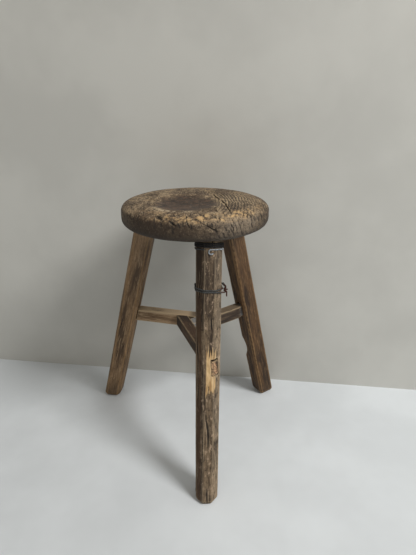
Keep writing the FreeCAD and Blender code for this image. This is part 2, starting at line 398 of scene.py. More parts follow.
# %% Starting a material
def new_coat(name, origin, turn=(0.0, 0.0, 0.0)):
    """A material, its surface, and places on it in millimetres, from an origin and
    along turned axes."""
    material = bpy.data.materials.new(name)
    material.use_nodes = True
    tree = material.node_tree
    here = step(tree, "ShaderNodeTexCoord", {}, 3)
    inputs = {"Vector": here, "Location": origin, "Rotation": turn, "Scale": (MM, MM, MM)}
    place = step(tree, "ShaderNodeMapping", inputs, vector_type="TEXTURE")
    return material, tree.nodes["Principled BSDF"], place


def finish_coat(surface, colour, roughness, height):
    """Feeds a surface its colour, its roughness and its fine relief in millimetres."""
    relief = {"Strength": 1.0, "Distance": MM, "Height": height}
    feed(colour.tree, colour, surface.inputs["Base Color"])
    feed(colour.tree, roughness, surface.inputs["Roughness"])
    feed(colour.tree, step(colour.tree, "ShaderNodeBump", relief), surface.inputs["Normal"])


# %% [markdown]
# ## The seat's wood
#
# The seat is one thick slice of a trunk that was never quite straight, so its growth
# rings show as arcs on the top and run on down the side. Soft early wood wears away
# between the hard late rings, which leaves fine dark grooves. A few drying cracks cut
# across them.
#
# A ring is a surface at a constant distance from the trunk's crooked middle. The
# formula measures that distance in a squashed space, lets noise pull it about, and
# takes its sine. Cracks are short lines with a wobble, drawn where the wood split.

# %% The seat's rings
ring_heart = (-6.0, -22.0, -58.0)
ring_squash = (1.0, 0.55, 0.8)
ring_spacing = 4.3
ring_wander = 3.2
ring_ripple = 2.6


def seat_ring_wave(place):
    """1 in the dark groove between two rings and 0 on the ridge."""
    pull = noise(place, (42, 42, 42), 3, detail=2.0) - 0.5
    ripple = noise(place, (11, 15, 11), 5, detail=2.0) - 0.5
    squashed = place.vector("SUBTRACT", ring_heart).vector("MULTIPLY", ring_squash)
    reach = squashed.vector("LENGTH", output=1)
    distance = reach + pull * (2 * ring_wander) + ripple * ring_ripple
    wave = (distance * (2 * math.pi / ring_spacing)).maths("SINE")
    return wave * 0.5 + 0.5


def seat_ring_zone(place):
    """Where the rings stand out: the right of the top and most of the side."""
    x, y, z = parts_of(place)
    ragged = noise(place, (22, 22, 22), 8, detail=2.0) * 40 - 20
    right = fade(x + ragged * 0.5, 28.0, 48.0) * fade(z, -10.0, 2.0)
    out = off_axis(x, y)
    side = fade(out, 100.0, 118.0) * fade(x + ragged, -75.0, -30.0)
    torn = fade(noise(place, (14, 14, 9), 9, detail=3.0), 0.42, 0.58)
    bold = 0.5 + fade(x, 10.0, 40.0) * 0.35
    return right.maths("MAXIMUM", side * torn * bold)


# %% The seat's cracks and knots
# Each crack is a start, an end and a width, seen from above, from the seat's axis.
TOP_CRACKS = [
    ((18, 66), (48, 52), 2.8),
    ((20, 58), (35, 22), 1.8),
    ((32, 26), (45, -20), 2.2),
    ((45, -14), (52, -58), 1.9),
    ((29, 58), (50, 12), 1.6),
    ((51, -50), (57, -96), 1.7),
    ((-88, -6), (-70, -14), 2.6),
    ((-86, -18), (-72, -22), 2.0),
    ((-96, 14), (-74, 4), 1.4),
    ((-112, -34), (-96, -42), 1.4),
    ((4, -106), (14, -110), 1.3),
    ((62, 58), (86, 40), 1.2),
]
# These run down the side: distance round the rim from the right, then height.
SIDE_CRACKS = [
    ((-222, -5), (-215, -18), 0.9),
    ((-199, -9), (-173, -24), 0.75),
    ((-103, -5), (-109, -12), 0.9),
    ((-150, -12), (-146, -26), 0.7),
    ((-250, -9), (-236, -15), 1.3),
    ((-276, -6), (-262, -9), 1.2),
]
crack_wobble = 8.0


def crack(place, start, end, width):
    """1 on a crooked line from start to end that thins out towards both."""
    start, end = Vector((*start, 0)), Vector((*end, 0))
    along = end - start
    away = place.vector("SUBTRACT", start)
    share = away.vector("DOT_PRODUCT", along, output=1) / along.length_squared
    share = share.maths("MINIMUM", 1.0).maths("MAXIMUM", 0.0)
    nearest = joined(share * along.x, share * along.y, 0.0)
    distance = away.vector("DISTANCE", nearest, output=1)
    swell = (share - 0.5).maths("ABSOLUTE") * -1.2 + 1.0
    return fade(distance, swell * width, swell * (width * 0.35))


def seat_cracks(place):
    x, y, z = parts_of(place)
    wobble = noise(place, (8, 8, 8), 11, detail=3.0) * crack_wobble - crack_wobble / 2
    above = joined(x + wobble, y + wobble, 0.0)
    bearing = y.maths("ARCTAN2", x)
    round_rim = joined(bearing * (seat_radius / MM) + wobble, z, 0.0)
    on_top = fade(z, -20.0, -10.0)
    on_rim = fade(off_axis(x, y), 92.0, 104.0)
    splits = [crack(above, *one) * on_top for one in TOP_CRACKS]
    splits += [crack(round_rim, *one) * on_rim for one in SIDE_CRACKS]
    return strongest(splits)


# %% [markdown]
# ## The seat's shape
#
# A turner would call this a thick slab with a full round edge. Its section is a
# superellipse: flat in the middle and swelling to a soft belly at the rim. Years of
# sitting have worn a shallow bowl into the top, nearer the front.
#
# The shape follows a rule, so a recipe makes it. It starts as a finely divided cube,
# sends each point of the cube's top, bottom and sides to the matching place on the
# slab, lowers the bowl, and then presses in rings, dents and cracks. Starting from a
# cube keeps the squares the same size all over, with no pinched pole in the middle.

# %% The seat's recipe
squares_across = 168
squares_down = 42
dish_radius = 61.0
dish_depth = 8.0
dish_place = (-17.0, -31.0)
edge_power = 4.1
tenon_place = (middle("front_leg_wedge") - seat_centre) / MM


def seat_recipe():
    slab_sizes = ("Radius", "Half thickness", "Edge power")
    depths = ("Dish radius", "Dish depth", "Ring depth", "Crack depth", "Dent depth")
    tree, given = new_recipe("turned_round_seat", slab_sizes + depths, ("Centre",))
    radius, half, power = (given[name] for name in slab_sizes)
    block = step(tree, "GeometryNodeMeshCube", {
        "Size": (2.0, 2.0, 2.0), "Vertices X": squares_across + 1,
        "Vertices Y": squares_across + 1, "Vertices Z": squares_down + 1,
    })
    slab = move_points(block, "Position", on_slab(tree, radius, half, power))
    dished = move_points(slab, "Position", in_dish(tree, half, given))
    worn = move_points(dished, "Offset", seat_relief(tree, half, given))
    settled = step(tree, "GeometryNodeTransform", {
        "Geometry": worn, "Translation": given["Centre"], "Scale": (MM, MM, MM),
    })
    end_recipe(tree, settled, given["Material"])
    return tree


def on_slab(tree, radius, half, power):
    """Sends a point of the two-unit cube to the slab's surface."""
    x, y, z = parts_of(step(tree, "GeometryNodeInputPosition", {}))
    shoulder = 0.5 ** (1 / power)
    length = (x * x + y * y).maths("SQRT") + 1e-6
    reach = x.maths("ABSOLUTE").maths("MAXIMUM", y.maths("ABSOLUTE")) * shoulder
    drop = z.maths("ABSOLUTE") * shoulder
    on_face = z.maths("ABSOLUTE").maths("GREATER_THAN", 0.9999)
    face_height = (1 - reach ** power) ** (1 / power)
    rim_reach = (1 - drop ** power) ** (1 / power)
    out = rim_reach + (reach - rim_reach) * on_face
    rise = (drop + (face_height - drop) * on_face) * z.maths("SIGN")
    return joined(x / length * out * radius, y / length * out * radius, rise * half)


def in_dish(tree, half, given):
    """Lowers the top to a shallow round bowl."""
    here = step(tree, "GeometryNodeInputPosition", {})
    x, y, z = parts_of(here)
    calm = fade(off_axis(x - tenon_place.x, y - tenon_place.y), 18.0, 42.0)
    ragged = (noise(here, (30, 30, 30), 21) * 16 - 8) * calm
    share = (off_axis(x - dish_place[0], y - dish_place[1]) + ragged) / given["Dish radius"]
    bowl = half - given["Dish depth"] * (1 - share * share)
    return joined(x, y, z.maths("MINIMUM", bowl))


def seat_relief(tree, half, given):
    """Rings, cracks and dents, as a push along the surface's own direction."""
    here = step(tree, "GeometryNodeInputPosition", {})
    place = here.vector("SUBTRACT", joined(0.0, 0.0, half))
    grooves = seat_ring_wave(place) ** 2.0 * seat_ring_zone(place) * given["Ring depth"]
    splits = seat_cracks(place) * given["Crack depth"]
    dents = (noise(place, (38, 38, 30), 31, detail=1.0) - 0.5) * 2
    nicks = (noise(place, (9, 9, 9), 32, detail=2.0) - 0.5) * 0.6
    push = (dents + nicks) * given["Dent depth"] - grooves - splits
    along = step(tree, "GeometryNodeInputNormal", {})
    return along.vector("MULTIPLY", push)


# %% [markdown]
# ## Sockets for the legs
#
# Each leg ends in a square tenon that passes right through the seat. The sockets are
# cut from the finished slab with slanted square bars, one along each leg's line. The
# tenon end then sits in its socket with a hair's breadth of dirt round it.

# %% Cutting the sockets
tenon_side = 23.3 * MM
leg_turns = {"left": -10.0, "right": 32.0, "front": 3.0}


def socket_bar(name):
    """A slanted square bar along a leg's line, through the whole seat."""
    shape = bmesh.new()
    rings = []
    for height in (seat_low.z - seat_thickness, seat_high.z + seat_thickness):
        ring = []
        for quarter in range(4):
            angle = math.radians(leg_turns[name] + 45 + 90 * quarter)
            arm = Vector((math.cos(angle), math.sin(angle), 0)) * tenon_side / math.sqrt(2)
            ring.append(shape.verts.new(leg_point(name, height) + arm))
        rings.append(ring)
    low, high = rings
    shape.faces.new(low[::-1])
    shape.faces.new(high)
    for k in range(4):
        shape.faces.new((low[k - 1], low[k], high[k], high[k - 1]))
    mesh = bpy.data.meshes.new(name + "_socket_bar")
    shape.to_mesh(mesh)
    shape.free()
    return new_piece(name + "_socket_bar", mesh)


def cut_sockets(piece):
    bars = [socket_bar(name) for name in LEG_NAMES]
    for bar in bars:
        cut = piece.modifiers.new(bar.name, "BOOLEAN")
        cut.operation = "DIFFERENCE"
        cut.solver = "EXACT"
        cut.object = bar
    mesh = freeze(piece)
    for bar in bars:
        bpy.data.objects.remove(bar)
    print("the cut seat has", len(mesh.polygons), "faces and", len(mesh.materials), "slots")
    return mesh


def paint_all(mesh, material):
    """Gives every face one material, the newly cut socket walls among them."""
    mesh.materials.clear()
    mesh.materials.append(material)
    mesh.polygons.foreach_set("material_index", [0] * len(mesh.polygons))


# %% [markdown]
# ## The seat's finish
#
# The wood has never been varnished. Its colour is grey-tan where weather reached it,
# a deep smooth brown in the bowl where people sat, honey coloured along the front
# edge, partly rubbed wood and partly a painted highlight, and almost black low on the
# side. The side is painted darker towards the left, as painted shade.
#
# The colour is built up like paint, from the broadest patches to the finest lines:
# base, bowl, painted highlights on the lip and the rubbed edge, grooves, cracks, and
# last the dirt in every hollow.

# %% Seat material
def seat_coat():
    material, surface, place = new_coat("worn seat wood", seat_top)
    x, y, z = parts_of(place)
    patches = noise(place, (36, 50, 40), 41, detail=5.0, roughness=0.7)
    colour = blend(fade(patches, 0.4, 0.6), tone(86, 68, 51), tone(156, 135, 107))
    mottle = noise(place, (6, 12, 6), 42, detail=5.0, roughness=0.75)
    colour = blend(fade(mottle, 0.5, 0.61) * 0.8, colour, tone(60, 45, 33))
    flecks = noise(place, (2.4, 5.0, 3.0), 49, detail=4.0, roughness=0.75)
    colour = blend(fade(flecks, 0.53, 0.62) * 0.85, colour, tone(36, 27, 20))
    colour = blend(fade(flecks, 0.45, 0.36) * 0.7, colour, tone(200, 180, 148))
    side = fade(z, -7.0, -16.0)
    # Soot on the side, with painted shade added towards the left, where the side is turned from the
    # window.
    soot_and_shade = noise(place, (22, 22, 12), 43, detail=5.0, roughness=0.7)
    soot_and_shade = fade(soot_and_shade + fade(x, 40.0, -60.0) * 0.22 + fade(x, 60.0, 115.0) * 0.14, 0.4, 0.62)
    grey = fade(x, 10.0, 60.0) * fade(x, 120.0, 90.0) * side
    colour = blend(grey * 0.5, colour, tone(140, 128, 114))
    colour = blend(side * (soot_and_shade * 0.6 + 0.2) * (1 - grey * 0.4), colour, tone(54, 40, 26))
    colour = blend(fade(z, -22.0, -38.0) * 0.7, colour, tone(42, 32, 22))
    bowl = bowl_share(place, x, y, z)
    colour = blend(bowl, colour, bowl_colour(place))
    # Pale line on the bowl's near lip: a painted highlight.
    colour = blend(lip_highlight(place, x, y, z), colour, tone(196, 178, 150))
    # Honey band on the rim's front and right shoulder: partly rubbed wood, partly a painted highlight
    # where it faces the window.
    colour = blend(rim_wear_and_highlight(place, x, y, z), colour, tone(204, 170, 122))
    zone = seat_ring_zone(place)
    groove = seat_ring_wave(place)
    broken = fade(noise(place, (6, 9, 6), 44, detail=2.0), 0.36, 0.54)
    lines = fade(groove, 0.6, 0.9) * zone * broken
    colour = blend(lines, colour, tone(36, 27, 20))
    checks = rim_checks(place)
    splits = seat_cracks(place).maths("MAXIMUM", checks * 0.9)
    colour = blend(splits * 0.95, colour, tone(24, 18, 13))
    out = off_axis(x, y)
    swell = fade(out, 96.0, 116.0) * 0.34
    colour = worn_by(colour, tone(30, 24, 18), tone(190, 166, 130), 0.5, swell)
    fine = noise(place, (1.4, 5.0, 3.0), 45, detail=3.0, roughness=0.7)
    height = fine * 0.35 + mottle * 0.8 - flecks * 0.8 - groove * zone * 0.5 - splits * 1.2
    finish_coat(surface, colour, 0.8 - bowl * 0.2 - fine * 0.2, height)
    return material


def rim_checks(place):
    """Short drying checks that run outwards across the top and over the rim."""
    x, y, z = parts_of(place)
    out = off_axis(x, y)
    round_rim = x.maths("ARCTAN2", y * -1.0) * 120.0
    strands = noise(joined(round_rim, out - z, 0.0), (3.4, 15.0, 9.0), 37, detail=3.0)
    return fade(strands, 0.6, 0.67) * fade(out, 62.0, 92.0) * fade(z, -36.0, -24.0)


def bowl_share(place, x, y, z):
    """1 inside the worn bowl, with a soft far edge and a crisp near lip."""
    ragged = noise(place, (20, 26, 20), 46, detail=5.0, roughness=0.65) * 56 - 28
    away = off_axis(x - dish_place[0], y - dish_place[1])
    return fade(away + ragged, dish_radius + 6.0, dish_radius - 20.0) * fade(z, -24.0, -16.0) * 0.92


def bowl_colour(place):
    smear = noise(place, (11, 7, 11), 47, detail=5.0, roughness=0.75)
    return blend(fade(smear, 0.44, 0.62), tone(38, 25, 18), tone(94, 71, 55))


def lip_highlight(place, x, y, z):
    """A thin pale line on the bowl's near lip, a painted highlight."""
    ragged = noise(place, (16, 16, 16), 50, detail=4.0) * 16 - 8
    away = off_axis(x - dish_place[0], y - dish_place[1])
    line = fade((away + ragged - dish_radius).maths("ABSOLUTE"), 4.5, 0.6)
    broken = fade(noise(place, (9, 9, 9), 39, detail=3.0), 0.46, 0.6)
    return line * broken * fade(y, -55.0, -72.0) * fade(z, -24.0, -16.0) * 0.8


def rim_wear_and_highlight(place, x, y, z):
    """The honey coloured band along the rim's front and right shoulder, partly rubbed wood and partly
    a painted highlight where the rim faces the window.
    """
    out = off_axis(x, y)
    band = fade(out, 100.0, 112.0) * fade(z, -14.0, -7.0)
    front = fade(y - x * 0.25, 10.0, -60.0)
    patchy = fade(noise(place, (12, 12, 6), 48, detail=5.0, roughness=0.7), 0.46, 0.6)
    return band * front * patchy * fade(x, -110.0, 10.0) * fade(x, 128.0, 60.0)


def worn_by(colour, dirt, bare, reach, swell=0.0):
    """Darkens the mesh's hollows and lightens its edges; reach is in millimetres,
    and swell is how far the shape's own rounding stands out there. A sharp cut edge
    is more than worn wood ever stands out, and stays dark."""
    depth = step(colour.tree, "ShaderNodeAttribute", {}, 2, attribute_name="hollow")
    cut_edge = fade(depth, reach * -1.0, reach * -1.5)
    rubbed = fade(depth + swell, reach * -0.1, reach * -0.7) * 0.45
    colour = blend(rubbed * (1 - cut_edge), colour, bare)
    sunk = fade(depth, reach * 0.06, reach * 0.6)
    return blend(sunk.maths("MAXIMUM", cut_edge) * 0.85, colour, dirt)


# %% Making the seat
def make_seat():
    material = seat_coat()
    piece = new_piece("worn_seat", bpy.data.meshes.new("worn_seat"))
    use_recipe(piece, seat_recipe(), {
        "Radius": seat_radius / MM, "Half thickness": seat_thickness / MM / 2,
        "Edge power": edge_power, "Dish radius": dish_radius, "Dish depth": dish_depth,
        "Ring depth": 0.5, "Crack depth": 2.2, "Dent depth": 0.6,
        "Centre": seat_centre, "Material": material,
    })
    mesh = cut_sockets(piece)
    paint_all(mesh, material)
    mark_relief(mesh)
    hand_over(piece, "seat")


make_seat()

# %% [markdown]
# ## Hewn and split wood
#
# The legs and stretchers were split along the grain and dressed with an axe and a
# knife. To keep every tenon, mortise and chamfer where the CAD model has it, each
# piece starts as a copy of its CAD solid. The copy is rebuilt in small even squares,
# which a coarse CAD mesh doesn't have, and its sharp corners are eased a little.
#
# A recipe then weathers it: long shallow hollows from the axe, fine ridges along the
# grain, and drying checks. All of it lies along the piece's own grain, so the recipe
# first turns each point into the grain's directions.

# %% The grain's directions
def grain_turn(along, side):
    """Axes for a piece: z along its grain and x as near as can be to the given side."""
    along = along.normalized()
    across = (side - along * side.dot(along)).normalized()
    return Matrix((across, along.cross(across), along)).transposed().to_euler()


def longest_direction(mesh):
    """The direction in which a mesh's points spread furthest."""
    places = np.array([v.co for v in mesh.vertices])
    _, axes = np.linalg.eigh(np.cov(places.T))
    longest = Vector(axes[:, -1])
    return longest if longest.x > 0 else -longest


# %% The weathering recipe
def weathering_recipe():
    numbers = ("Seed", "Grain depth", "Check depth", "Check share", "Hollow depth")
    tree, given = new_recipe("weathered_wood", numbers, ("Origin", "Grain turn"))
    here = step(tree, "GeometryNodeInputPosition", {})
    turned = step(tree, "ShaderNodeVectorRotate", {
        "Vector": here, "Center": given["Origin"], "Rotation": given["Grain turn"],
    }, rotation_type="EULER_XYZ", invert=True)
    place = turned.vector("SUBTRACT", given["Origin"]).vector("SCALE", None, None, 1 / MM)
    place = place.vector("ADD", given["Seed"])
    hollows = (noise(place, (34, 34, 120), 51, detail=1.0) - 0.5) * 2
    ridges = noise(place, (3.4, 3.4, 60), 52, detail=2.0) - 0.5
    fibres = noise(place, (1.8, 1.8, 26), 53, detail=1.0) - 0.5
    checks = check_lines(place, given["Check share"])
    push = hollows * given["Hollow depth"] + (ridges * 2 + fibres) * given["Grain depth"]
    push = push - checks * given["Check depth"]
    height = parts_of(here)[2]
    push = push * fade(height, 0.0, 0.006) * MM
    along = step(tree, "GeometryNodeInputNormal", {})
    worn = move_points(given["Geometry"], "Offset", along.vector("MULTIPLY", push))
    end_recipe(tree, worn, given["Material"])
    return tree


def check_lines(place, share):
    """Long thin drying cracks along the grain; a larger share makes more of them."""
    strands = noise(place, (4.8, 4.8, 62), 54, detail=1.0)
    edge = 0.74 - share
    return fade(strands, edge, edge + 0.06)


# %% Rebuilding a CAD solid in even squares
easing_rounds = 3


def even_copy(node, name, square):
    mesh = frame["nodes"][node].data.copy()
    shape = bmesh.new()
    shape.from_mesh(mesh)
    bmesh.ops.remove_doubles(shape, verts=shape.verts, dist=0.00001)
    shape.to_mesh(mesh)
    shape.free()
    piece = new_piece(name, mesh)
    rebuild = piece.modifiers.new("even squares", "REMESH")
    rebuild.mode = "VOXEL"
    rebuild.voxel_size = square
    ease = piece.modifiers.new("eased corners", "SMOOTH")
    ease.factor = 0.5
    ease.iterations = easing_rounds
    return piece


weathering = weathering_recipe()


def weather(piece, origin, turn, sizes):
    values = {"Origin": origin, "Grain turn": tuple(turn), **sizes}
    use_recipe(piece, weathering, values)
    mark_relief(freeze(piece))


# %% [markdown]
# ## The legs' finish
#
# The two back legs are split ash or elm, oiled brown by hands and pale grey where
# they weathered. Streaks of three widths run along the grain: broad bands, fibres,
# and the dark lines of checks. Raised edges are rubbed lighter.

# %% Leg material
def grain_colour(place, dark, body, light):
    """Broad bands, broken streaks, fibres and small dark pits along the grain."""
    bands = noise(place, (13, 13, 110), 61, detail=3.0)
    narrow = noise(place, (2.6, 2.6, 30), 62, detail=4.0, roughness=0.65)
    fibres = noise(place, (0.9, 0.9, 12), 63, detail=2.0, roughness=0.6)
    pits = noise(place, (2.0, 2.0, 7.5), 65, detail=3.0, roughness=0.65)
    colour = blend(fade(bands, 0.38, 0.6), dark, body)
    colour = blend(fade(narrow, 0.5, 0.66) * 0.65, colour, light)
    colour = blend(fade(narrow, 0.46, 0.34) * 0.7, colour, dark)
    colour = blend(fade(pits, 0.54, 0.66) * 0.6, colour, dark)
    return blend(fade(fibres, 0.54, 0.7) * 0.4, colour, dark), narrow, fibres


# Dark, middle and light tones of each leg's wood. The right leg's are set darker as painted shade, for
# its face turned from the window.
LEG_TONES = {
    "left": (tone(74, 55, 36), tone(134, 107, 77), tone(168, 142, 110)),
    "right": (tone(46, 29, 13), tone(86, 60, 33), tone(130, 101, 68)),
    "front": (tone(58, 45, 33), tone(122, 103, 80), tone(160, 139, 114)),
}


def tenon_tone(name, place, along, colour):
    """The tenon's end in the seat, as dark and mottled as the seat round it."""
    crumbs = noise(place, (2.5, 4.0, 6.0), 66, detail=4.0, roughness=0.7)
    end_grain = blend(fade(crumbs, 0.42, 0.6), tone(58, 45, 34), tone(132, 113, 90))
    inside = (seat_low.z / MM + 14.0) * leg_slopes[name].length
    return blend(fade(along, inside, inside + 4.0), colour, end_grain)


def leg_coat(name, origin, turn, seed):
    material, surface, place = new_coat(name + " leg wood", origin, turn)
    along = parts_of(place)[2]
    place = place.vector("ADD", (seed, seed, seed))
    colour, narrow, fibres = grain_colour(place, *LEG_TONES[name])
    checks = check_lines(place, back_leg_wear["Check share"])
    colour = blend(checks * 0.8, colour, tone(30, 21, 14))
    grime = noise(place, (30, 30, 60), 64, detail=3.0)
    low = fade(along + grime * 60, 90.0, 30.0)
    colour = blend(low * 0.45, colour, tone(60, 50, 40))
    colour = worn_by(colour, tone(28, 20, 13), tone(168, 132, 88), 0.5)
    colour = tenon_tone(name, place, along, colour)
    polish = fade(along, 250.0, 420.0) * 0.15
    height = narrow * 0.3 + fibres * 0.25 - checks * 0.6
    finish_coat(surface, colour, narrow * 0.15 + 0.72 - polish, height)
    return material


# %% Making the back legs
back_leg_wear = {
    "Grain depth": 0.25, "Check depth": 0.9, "Check share": 0.05, "Hollow depth": 0.5,
}
leg_square = 1.25 * MM
rightwards = Vector((1, 0, 0))


def make_leg(name, coat_maker, wear, seed):
    """Weathers one leg along the grain that runs from its foot to its wedge."""
    turn = grain_turn(leg_slopes[name], rightwards)
    material = coat_maker(name, leg_feet[name], turn, seed)
    piece = even_copy(name + "_leg", "weathered_" + name + "_leg", leg_square)
    sizes = {**wear, "Seed": seed, "Material": material}
    weather(piece, leg_feet[name], turn, sizes)
    hand_over(piece, name + "_leg")


for name, seed in (("left", 0.0), ("right", 310.0)):
    make_leg(name, leg_coat, back_leg_wear, seed)

# %% [markdown]
# ## The front leg's finish
#
# The front leg stood in the weather longest. It is grey and deeply checked, and bare
# yellow wood shows round the tenon where a long splinter came away. Its left side and
# its top under the seat are painted darker as painted shade, and its right side, which
# faces the window, has a painted highlight. The bare patch is a mask: a slot shape
# about the tenon's end, with its upper and lower edges made ragged by noise stretched
# along the grain.

# %% Front leg material
def tenon_end():
    """The box of the tenon's end on the leg's front, in the leg's own directions."""
    turn = grain_turn(leg_slopes["front"], rightwards).to_matrix().transposed()
    shape = frame["nodes"]["front_stretcher"].data.vertices
    points = [turn @ (v.co - leg_feet["front"]) / MM for v in shape]
    nearest = min(point.y for point in points)
    end = [point for point in points if point.y < nearest + 6.0]
    return [(min(p[k] for p in end), max(p[k] for p in end)) for k in (0, 2)]


(tenon_left, tenon_right), (tenon_bottom, tenon_top) = tenon_end()
tenon_height = (tenon_bottom + tenon_top) / 2
bare_left = tenon_left - 8.5
bare_right = tenon_right + 3.0
bare_up = tenon_top - tenon_height + 20.0
bare_down = tenon_height - tenon_bottom + 30.0
print("tenon end", [round(v, 1) for v in (tenon_left, tenon_right, tenon_bottom, tenon_top)])


def bare_patch(place):
    """1 on the pale wood round the tenon end, 0 elsewhere."""
    x, y, along = parts_of(place)
    ragged = noise(place, (2.4, 2.4, 34), 71, detail=3.0) - 0.5
    jagged = ragged * 56
    up = fade(along - tenon_height + jagged, bare_up, bare_up - 5.0)
    down = fade(along - tenon_height + jagged, -bare_down, 5.0 - bare_down)
    left = fade(x + ragged * 6, bare_left, bare_left + 1.5)
    right = fade(x + ragged * 6, bare_right, bare_right - 1.5)
    return up * down * left * right * fade(y, 0.0, -8.0)


def front_leg_coat(name, origin, turn, seed):
    material, surface, place = new_coat(name + " leg wood", origin, turn)
    x, y, along = parts_of(place)
    bare = bare_patch(place)
    place = place.vector("ADD", (seed, seed, seed))
    colour, narrow, fibres = grain_colour(place, *LEG_TONES[name])
    # Painted highlight on the leg's right side, which faces the window.
    window_highlight = fade(x, 6.0, 15.0) * fade(y, 5.0, -5.0)
    colour = blend(window_highlight * 0.35, colour, tone(168, 150, 126))
    # Painted shade on the leg's upper part, under the seat.
    under_seat_shade = fade(along, 290.0, 430.0)
    colour = blend(under_seat_shade * 0.4, colour, tone(52, 42, 33))
    blotches = noise(place, (7, 7, 15), 72, detail=5.0, roughness=0.75)
    colour = blend(fade(blotches, 0.52, 0.61) * 0.85, colour, tone(50, 39, 31))
    colour = blend(fade(blotches, 0.45, 0.35) * 0.8, colour, tone(184, 160, 136))
    checks = check_lines(place, front_leg_wear["Check share"])
    colour = blend(checks * 0.85, colour, tone(30, 25, 21))
    # Painted shade on the leg's left side, darker still under the seat.
    shadow_side = fade(x, -9.5, -13.5)
    colour = blend(shadow_side * 0.8, colour, tone(72, 49, 28))
    colour = blend(shadow_side * under_seat_shade * 0.75, colour, tone(38, 26, 15))
    grain = fade(narrow, 0.4, 0.6)
    yellow = blend(grain, tone(172, 136, 90), tone(226, 194, 146))
    colour = blend(bare, colour, yellow)
    colour = worn_by(colour, tone(26, 21, 17), tone(170, 152, 126), 0.6)
    colour = tenon_tone(name, place, along, colour)
    height = narrow * 0.45 + fibres * 0.3 - checks * 0.9
    finish_coat(surface, colour, narrow * 0.1 + 0.82, height)
    return material


# %% Making the front leg
front_leg_wear = {
    "Grain depth": 0.4, "Check depth": 1.4, "Check share": 0.1, "Hollow depth": 0.5,
}
make_leg("front", front_leg_coat, front_leg_wear, 620.0)

# %% [markdown]
# ## The stretchers
#
# Three bars tie the legs together. Each runs from its leg past a small open eye and
# into the side of the next, like the blades of a pinwheel. They are weathered by the
# same recipe as the legs; each one's grain is the direction in which its own points
# spread furthest.

# %% Stretcher material
# Dark, middle and light tones of each stretcher's wood. The front and right ones are set darker as
# painted shade, for the seat's shadow over them.
STRETCHER_TONES = {
    "left": (tone(102, 79, 56), tone(152, 126, 96), tone(186, 162, 128)),
    "right": (tone(48, 36, 27), tone(78, 62, 47), tone(110, 91, 71)),
    "front": (tone(46, 32, 21), tone(74, 54, 38), tone(112, 89, 65)),
}
# How much each one's upper face is painted lighter: partly bleaching, partly painted light; none on
# the front one, which lies in the seat's shadow.
LIT_AND_BLEACHED_TOPS = {"left": 0.75, "right": 0.25, "front": 0.0}
# The grime by each one's leg; the grey on the right one's pared cheek is painted cool shade.
END_GRIME_AND_SHADE_TONES = {"left": tone(60, 50, 40), "right": tone(132, 134, 136), "front": tone(44, 34, 26)}


def stretcher_coat(name, origin, turn, half_length, seed):
    material, surface, place = new_coat(name + " stretcher wood", origin, turn)
    up, _, along = parts_of(place)
    place = place.vector("ADD", (seed, seed, seed))
    colour, narrow, fibres = grain_colour(place, *STRETCHER_TONES[name])
    checks = check_lines(place, stretcher_wear["Check share"])
    colour = blend(checks * 0.8, colour, tone(34, 25, 17))
    # Upper face painted lighter, partly bleaching and partly painted light.
    colour = blend(fade(up, 8.0, 12.0) * LIT_AND_BLEACHED_TOPS[name], colour, tone(178, 158, 130))
    # Grime at the ends by the legs; on the right stretcher its grey is painted cool shade on the pared
    # cheek.
    end_grime_and_shade = fade(along.maths("ABSOLUTE") + narrow * 20, half_length - 40, half_length - 24)
    colour = blend(end_grime_and_shade * 0.75, colour, END_GRIME_AND_SHADE_TONES[name])
    crumbs = noise(place, (2.2, 2.2, 2.2), 75, detail=3.0, roughness=0.7)
    end_grain = blend(fade(crumbs, 0.42, 0.6), tone(84, 56, 38), tone(196, 158, 122))
    sawn_end = fade(along.maths("ABSOLUTE"), half_length - 7, half_length - 5)
    colour = blend(sawn_end, colour, end_grain)
    colour = worn_by(colour, tone(32, 24, 17), tone(186, 164, 130), 0.45)
    height = narrow * 0.3 + fibres * 0.25 - checks * 0.6
    finish_coat(surface, colour, narrow * 0.1 + 0.78, height)
    return material


# %% Making the stretchers
stretcher_wear = {
    "Grain depth": 0.2, "Check depth": 0.7, "Check share": 0.05, "Hollow depth": 0.35,
}
stretcher_square = 0.95 * MM
upwards = Vector((0, 0, 1))


def make_stretcher(name, seed):
    node = name + "_stretcher"
    piece = even_copy(node, "weathered_" + node, stretcher_square)
    origin = middle(node)
    along = longest_direction(piece.data)
    turn = grain_turn(along, upwards)
    reach = max(abs((v.co - origin).dot(along)) for v in piece.data.vertices) / MM
    material = stretcher_coat(name, origin, turn, reach, seed)
    sizes = {**stretcher_wear, "Seed": seed, "Material": material}
    weather(piece, origin, turn, sizes)
    hand_over(piece, node)


for name, seed in zip(LEG_NAMES, (40.0, 450.0, 870.0)):
    make_stretcher(name, seed)

# %% [markdown]
# ## The wedges
#
# A thin wedge splits each tenon and locks it in the seat. Only its end grain shows on
# top. The CAD wedge has the right shape already, so it keeps its mesh and only gets a
# material: short dark flecks, as end grain has.

# %% Wedge material
def wedge_coat():
    material, surface, place = new_coat("wedge end grain", seat_top)
    pores = noise(place, (1.3, 1.3, 6.0), 81, detail=3.0, roughness=0.7)
    colour = blend(fade(pores, 0.38, 0.62), tone(58, 46, 36), tone(122, 104, 82))
    finish_coat(surface, colour, pores * 0.1 + 0.8, pores * 0.3)
    return material


wedge_wood = wedge_coat()
for name in LEG_NAMES:
    for slot in frame["nodes"][name + "_leg_wedge"].material_slots:
        slot.material = wedge_wood

# %% [markdown]
# ## The wires
#
# When the front leg began to split, someone bound it with wire: three close turns
# under the seat, a bright turn below them that ends in a small open eye, and a double
# turn lower down that is tied off at the right by wrapping one end round the other.
#
# Each wire is a path of corner points round the leg's eight sides. The recipe rounds
# the corners, as pliers would, and sweeps a round section along the path.

